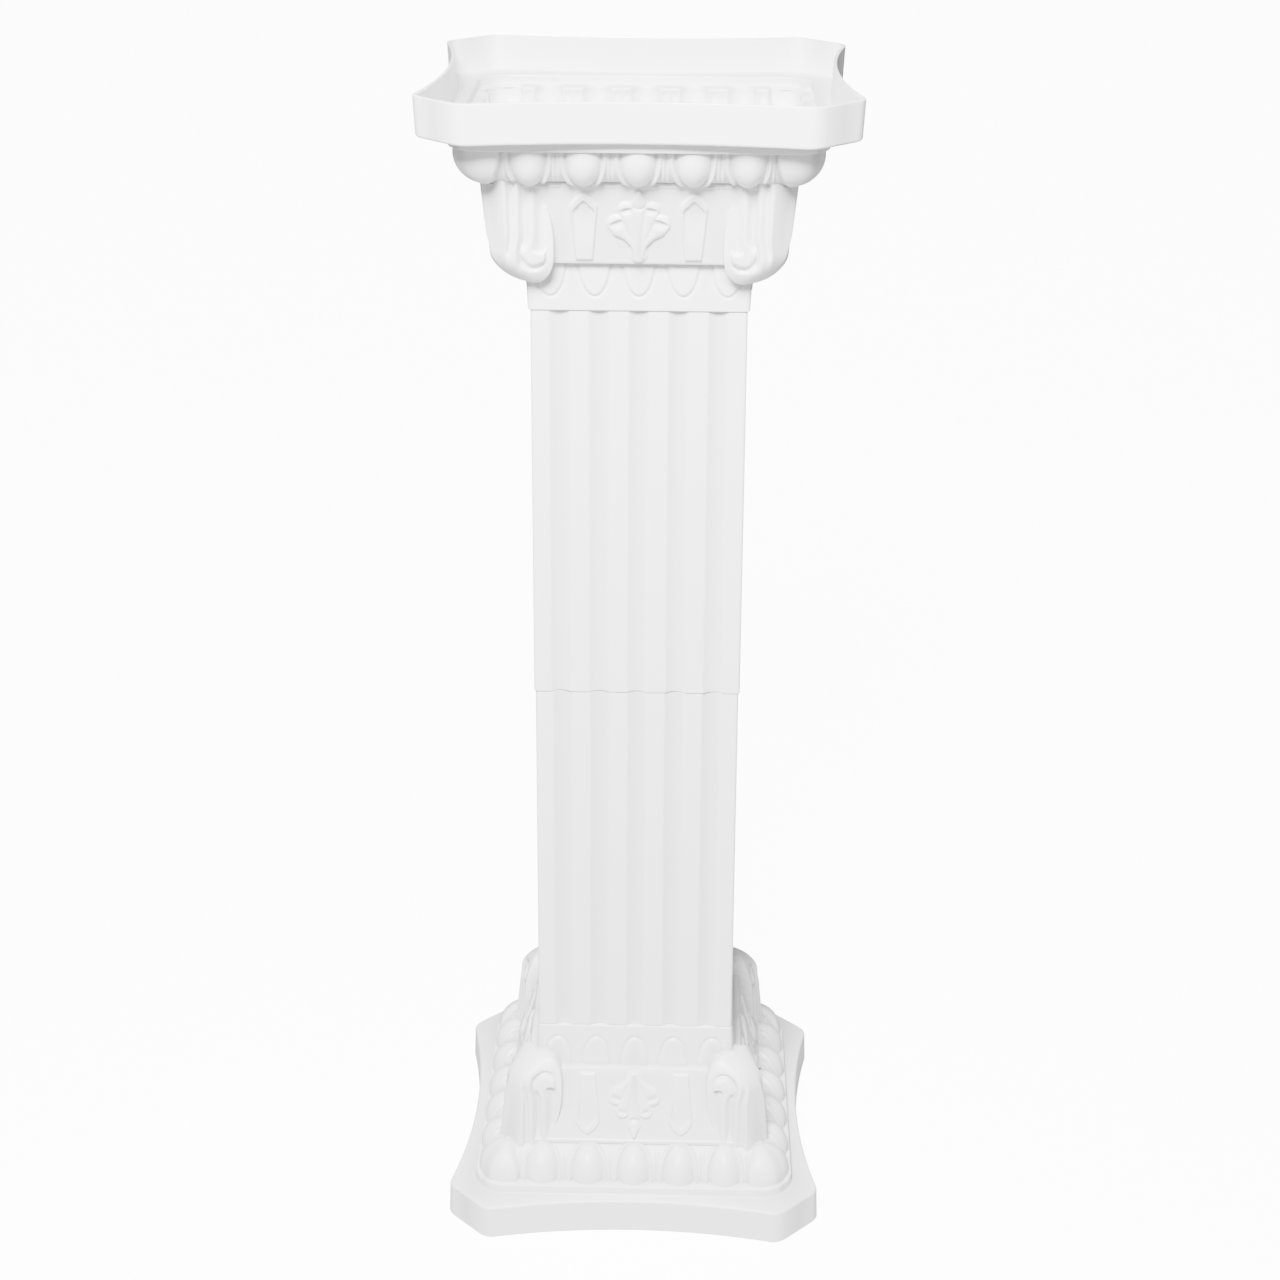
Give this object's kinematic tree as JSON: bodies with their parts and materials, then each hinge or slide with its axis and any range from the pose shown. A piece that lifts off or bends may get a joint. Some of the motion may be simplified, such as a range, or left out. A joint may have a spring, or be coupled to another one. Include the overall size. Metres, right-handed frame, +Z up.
{
  "type": "decorative pillar stand",
  "caption": "Classical display column of moulded plastic: fluted square shaft between a carved base and a matching upturned capital with an open well.",
  "frame": {"origin": "middle of the underside, on the surface that the stand is placed on", "axes": "+Z up along the shaft, +X and +Y square to the faces"},
  "size_m": [0.2902, 0.2902, 0.87],
  "materials": {
    "white_plastic": "white moulded plastic with a satin face"
  },
  "bodies": {
    "root": {"base": "white_plastic", "lower_shaft": "white_plastic", "upper_shaft": "white_plastic", "capital": "white_plastic"}
  },
  "joints": []
}
